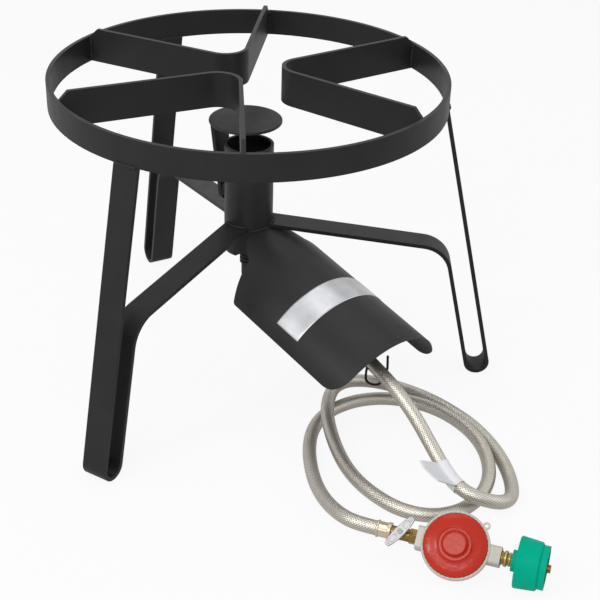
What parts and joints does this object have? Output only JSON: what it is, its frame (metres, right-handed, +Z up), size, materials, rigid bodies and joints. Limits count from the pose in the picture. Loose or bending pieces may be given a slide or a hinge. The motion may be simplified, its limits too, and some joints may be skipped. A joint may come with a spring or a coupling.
{
  "type": "outdoor propane cooker",
  "caption": "Outdoor gas cooker: round pot stand of welded flat bar on hairpin legs, jet burner under a spreader disc, arched heat shield, braided hose with valve and regulator.",
  "frame": {"origin": "on the floor, at the middle of the stand's footprint with its heat shield", "axes": "+Z up, -Y to the front where the shield and the hose come out, +X to the right seen from the front"},
  "size_m": [0.4862, 0.7456, 0.3518],
  "materials": {
    "black_bar": "satin black paint on flat bar",
    "black_sheet": "satin black paint on sheet",
    "black_tube": "satin black paint on tube",
    "brass": "machined",
    "dark_fitting": "blackened",
    "braid": "woven stainless wire",
    "crimp": "crimped sleeve",
    "zinc": "die cast, as cast",
    "handle": "die cast, tumbled",
    "screw_steel": "plated",
    "red_cover": "gloss red paint on pressed steel",
    "rubber": "moulded",
    "spring_steel": "drawn wire",
    "black_plastic": "moulded",
    "green_plastic": "moulded"
  },
  "bodies": {
    "stand": {"top_ring": "black_bar", "pot_support_back": "black_bar", "pot_support_left": "black_bar", "pot_support_right": "black_bar", "leg_back": "black_bar", "leg_left": "black_bar", "leg_right": "black_bar", "burner_tube": "black_tube", "flame_spreader": "black_sheet", "spreader_strap": "black_bar", "heat_shield": "black_sheet", "orifice_bracket": "black_bar", "jet_orifice": "brass", "inlet_elbow": "dark_fitting", "swivel_nut": "brass", "burner_ferrule": "crimp", "hose": "braid", "valve_ferrule": "crimp", "valve_body": "brass", "packing_nut": "brass", "regulator_body": "zinc", "regulator_cover": "red_cover", "diaphragm": "rubber", "lever_pin": "screw_steel", "inlet_nipple": "brass", "inlet_probe": "brass", "coupling_bushing": "black_plastic", "nipple_seal": "rubber"},
    "valve_control": {"valve_stem": "screw_steel", "valve_handle": "handle", "handle_screw": "screw_steel"},
    "hand_nut": {"coupling_nut": "green_plastic"},
    "pressure_plate": {"diaphragm_plate": "screw_steel", "regulator_spring": "spring_steel"},
    "bell_crank": {"lever": "screw_steel"},
    "inlet_plug": {"seat_plug": "rubber"}
  },
  "joints": [
    {"name": "valve_turn", "type": "hinge", "parent": "stand", "child": "valve_control", "pos_m": [-0.02172, -0.38216, 0.02375], "axis": [-0.4701, -0.4384, 0.766], "range_deg": [0, 270]},
    {"name": "coupling_spin", "type": "hinge", "parent": "stand", "child": "hand_nut", "pos_m": [0.05126, -0.46042, 0.02375], "axis": [0.682, -0.7314, 0], "continuous": true},
    {"name": "diaphragm_slide", "type": "slide", "parent": "stand", "child": "pressure_plate", "axis": [-0.4701, -0.4384, 0.766], "range_m": [0, 0.0015]},
    {"name": "lever_turn", "type": "hinge", "parent": "stand", "child": "bell_crank", "pos_m": [0.02145, -0.42422, 0.0203], "axis": [0.5602, 0.5224, 0.6428], "range_deg": [0, 9.6]},
    {"name": "plug_slide", "type": "slide", "parent": "stand", "child": "inlet_plug", "axis": [0.682, -0.7314, 0], "range_m": [0, 0.00076]}
  ],
  "couplings": [
    {"joint": "lever_turn", "follows": "diaphragm_slide", "rad_per_m": 111.11},
    {"joint": "plug_slide", "follows": "diaphragm_slide", "ratio": 0.5}
  ]
}
